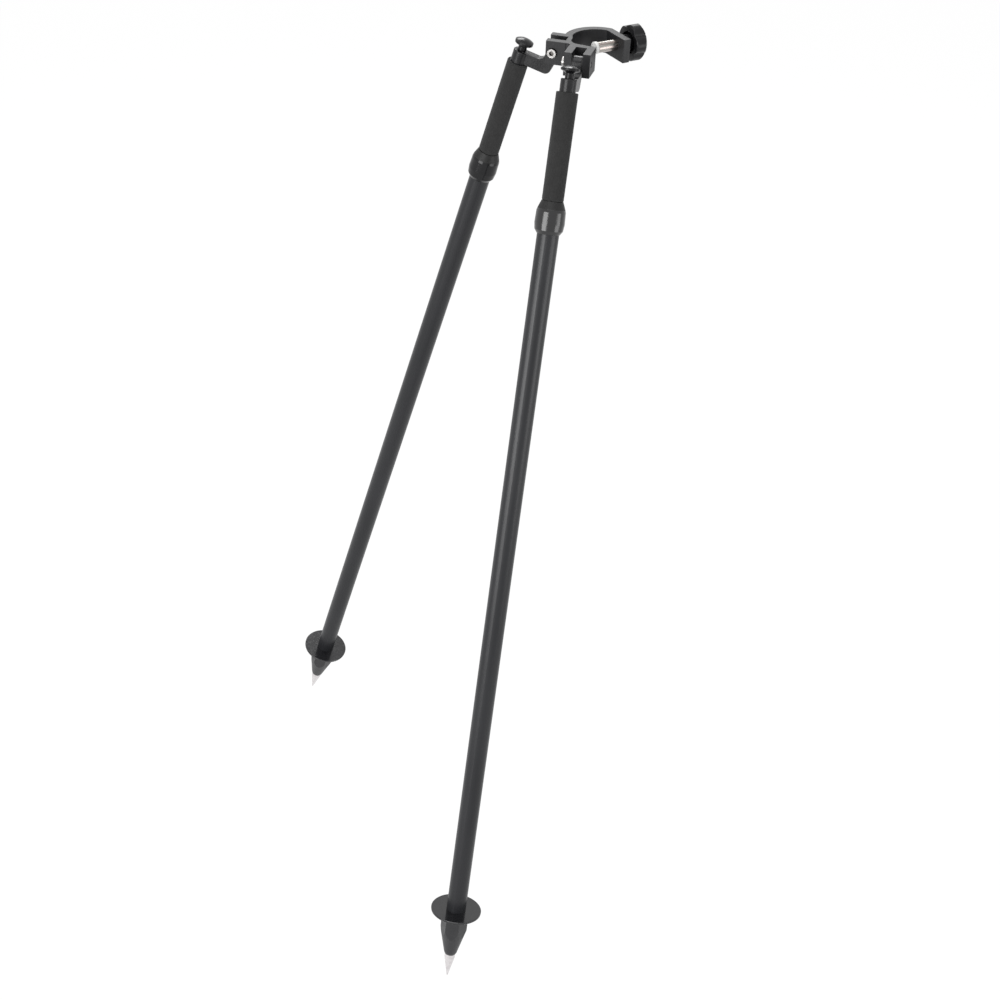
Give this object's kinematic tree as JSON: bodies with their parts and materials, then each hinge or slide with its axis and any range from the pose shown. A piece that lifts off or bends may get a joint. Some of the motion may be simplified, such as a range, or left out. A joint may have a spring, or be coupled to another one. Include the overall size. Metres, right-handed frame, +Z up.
{
  "type": "prism pole bipod",
  "caption": "Bipod that clamps to the side of a surveying pole and steadies it on two hinged, telescoping legs with thumb-release buttons, foam grips and pointed feet.",
  "frame": {"origin": "on the axis of the clamped pole, at mid-height of the clamp and level with the leg hinges", "axes": "+Z up the pole; +Y along the clamp screw to its knob; +X to the open side of the clamp and the right leg; legs spread towards -Y"},
  "size_m": [0.6242, 0.4131, 1.1249],
  "materials": {
    "anodised_clamp": "black anodised extrusion, satin",
    "bright_steel": "bright nickel plate",
    "white_nylon": "natural nylon",
    "black_nylon": "black nylon",
    "black_plastic": "glossy black moulding",
    "satin_casting": "satin black casting",
    "plain_aluminium": "clear anodised",
    "spring_steel": "plain",
    "brass": "turned",
    "grip_foam": "matte closed-cell foam",
    "matte_rubber": "matte",
    "anodised_collar": "black anodised, polished",
    "anodised_tube": "black anodised, satin",
    "anodised_foot": "black anodised, satin"
  },
  "bodies": {
    "head": {"clamp_body": "anodised_clamp", "pivot_bolts": "bright_steel", "pivot_washers": "black_nylon"},
    "screw_pad": {"screw_pad": "white_nylon"},
    "clamp_knob": {"clamp_screw": "bright_steel", "clamp_knob": "black_plastic", "knob_cap": "black_plastic"},
    "left_upper_leg": {"left_knuckle": "satin_casting", "left_inner_tube": "anodised_tube", "left_foam_grip": "grip_foam", "left_spring_plug": "brass", "left_return_spring": "spring_steel", "left_brake_collet": "white_nylon"},
    "left_lower_leg": {"left_guide_bush": "white_nylon", "left_collar_cap": "matte_rubber", "left_guide_collar": "anodised_collar", "left_outer_tube": "anodised_tube", "left_foot_plate": "anodised_foot", "left_foot": "anodised_foot", "left_steel_point": "bright_steel"},
    "left_button": {"left_thumb_button": "black_plastic", "left_push_rod": "plain_aluminium", "left_brake_cone": "brass", "left_brake_nut": "spring_steel"},
    "right_upper_leg": {"right_knuckle": "satin_casting", "right_inner_tube": "anodised_tube", "right_foam_grip": "grip_foam", "right_spring_plug": "brass", "right_return_spring": "spring_steel", "right_brake_collet": "white_nylon"},
    "right_lower_leg": {"right_guide_bush": "white_nylon", "right_collar_cap": "matte_rubber", "right_guide_collar": "anodised_collar", "right_outer_tube": "anodised_tube", "right_foot_plate": "anodised_foot", "right_foot": "anodised_foot", "right_steel_point": "bright_steel"},
    "right_button": {"right_thumb_button": "black_plastic", "right_push_rod": "plain_aluminium", "right_brake_cone": "brass", "right_brake_nut": "spring_steel"}
  },
  "joints": [
    {"name": "screw_feed", "type": "slide", "parent": "head", "child": "screw_pad", "axis": [0, -1, 0], "range_m": [-0.0245, 0.004]},
    {"name": "knob_turn", "type": "hinge", "parent": "screw_pad", "child": "clamp_knob", "pos_m": [0, 0.05, 0.0025], "axis": [0, -1, 0], "range_deg": [-5045, 825]},
    {"name": "left_leg_swing", "type": "hinge", "parent": "head", "child": "left_upper_leg", "pos_m": [-0.02225, -0.02145, 0], "axis": [-0.7071, 0.7071, 0], "range_deg": [-15.9, 44.1]},
    {"name": "left_leg_extend", "type": "slide", "parent": "left_upper_leg", "child": "left_lower_leg", "axis": [-0.1937, -0.1937, -0.9617], "range_m": [0, 0.66]},
    {"name": "left_button_press", "type": "slide", "parent": "left_upper_leg", "child": "left_button", "axis": [-0.1937, -0.1937, -0.9617], "range_m": [0, 0.005], "stiffness_N_per_m": 2000, "springref_m": -0.004, "deforming": ["left_return_spring"]},
    {"name": "right_leg_swing", "type": "hinge", "parent": "head", "child": "right_upper_leg", "pos_m": [0.02725, -0.02145, 0], "axis": [-0.7071, -0.7071, 0], "range_deg": [-20.3, 39.7]},
    {"name": "right_leg_extend", "type": "slide", "parent": "right_upper_leg", "child": "right_lower_leg", "axis": [0.2453, -0.2453, -0.9379], "range_m": [0, 0.66]},
    {"name": "right_button_press", "type": "slide", "parent": "right_upper_leg", "child": "right_button", "axis": [0.2453, -0.2453, -0.9379], "range_m": [0, 0.005], "stiffness_N_per_m": 2000, "springref_m": -0.004, "deforming": ["right_return_spring"]}
  ],
  "couplings": [
    {"joint": "knob_turn", "follows": "screw_feed", "rad_per_m": 3590.4}
  ]
}
